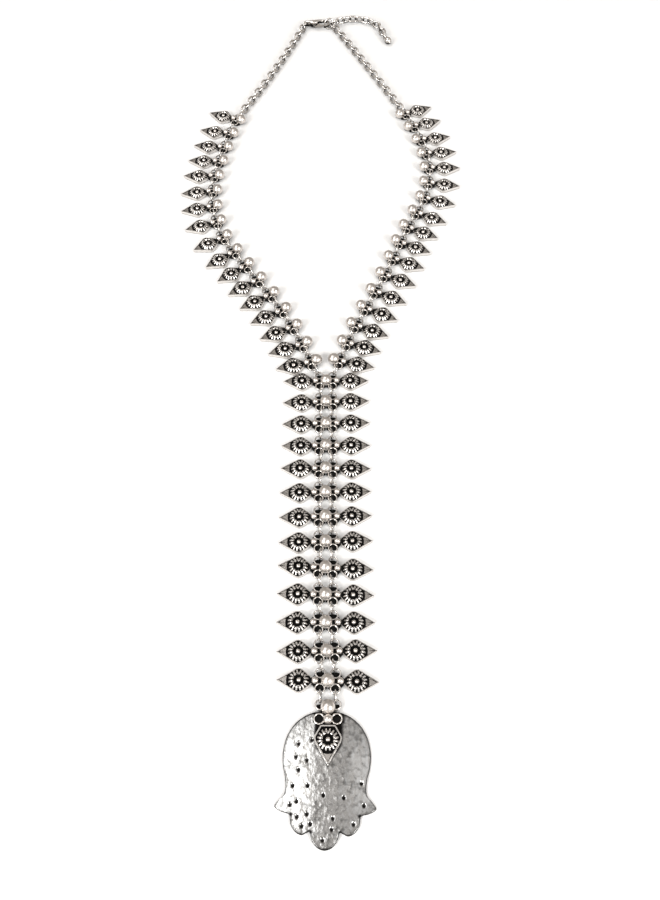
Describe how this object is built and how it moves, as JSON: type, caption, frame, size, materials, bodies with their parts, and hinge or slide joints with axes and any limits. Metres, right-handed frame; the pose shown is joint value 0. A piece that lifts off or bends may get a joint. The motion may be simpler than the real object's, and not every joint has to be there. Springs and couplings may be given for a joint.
{
  "type": "bib necklace",
  "caption": "Long bib necklace laid flat: a column of cast double spikes with rosettes, spiked arms, an open-hand pendant, trace chains, a trigger clasp and an extender.",
  "frame": {"origin": "centre of the necklace's bounding box, on the surface it lies on", "axes": "+Y up the column from the pendant to the clasp, +X to the right seen from the front, +Z out of the surface towards the viewer"},
  "size_m": [0.1576, 0.4966, 0.0059],
  "materials": {
    "cast_metal": "cast silver-coloured alloy, polished high spots, darkened recesses",
    "ring_wire": "polished silver-coloured wire",
    "chain_wire": "polished silver-coloured wire",
    "clasp_metal": "polished silver-coloured casting"
  },
  "bodies": {
    "necklace": {"bar_01": "cast_metal", "bar_02": "cast_metal", "bar_03": "cast_metal", "bar_04": "cast_metal", "bar_05": "cast_metal", "bar_06": "cast_metal", "bar_07": "cast_metal", "bar_08": "cast_metal", "bar_09": "cast_metal", "bar_10": "cast_metal", "bar_11": "cast_metal", "bar_12": "cast_metal", "bar_13": "cast_metal", "left_arm_spikes": "cast_metal", "right_arm_spikes": "cast_metal", "column_rings": "ring_wire", "left_arm_rings": "ring_wire", "right_arm_rings": "ring_wire", "pendant": "cast_metal", "left_chain": "chain_wire", "right_chain": "chain_wire", "clasp_body": "clasp_metal", "clasp_rings": "chain_wire", "extender_chain": "chain_wire", "end_ball": "chain_wire"},
    "lever": {"clasp_lever": "clasp_metal"}
  },
  "joints": [
    {"name": "lever_hinge", "type": "hinge", "parent": "necklace", "child": "lever", "pos_m": [-0.00587, 0.23984, 0.0023], "axis": [0, 0, 1], "range_deg": [0, 25], "stiffness_Nm_per_rad": 0.0002, "springref_deg": -28.65}
  ]
}
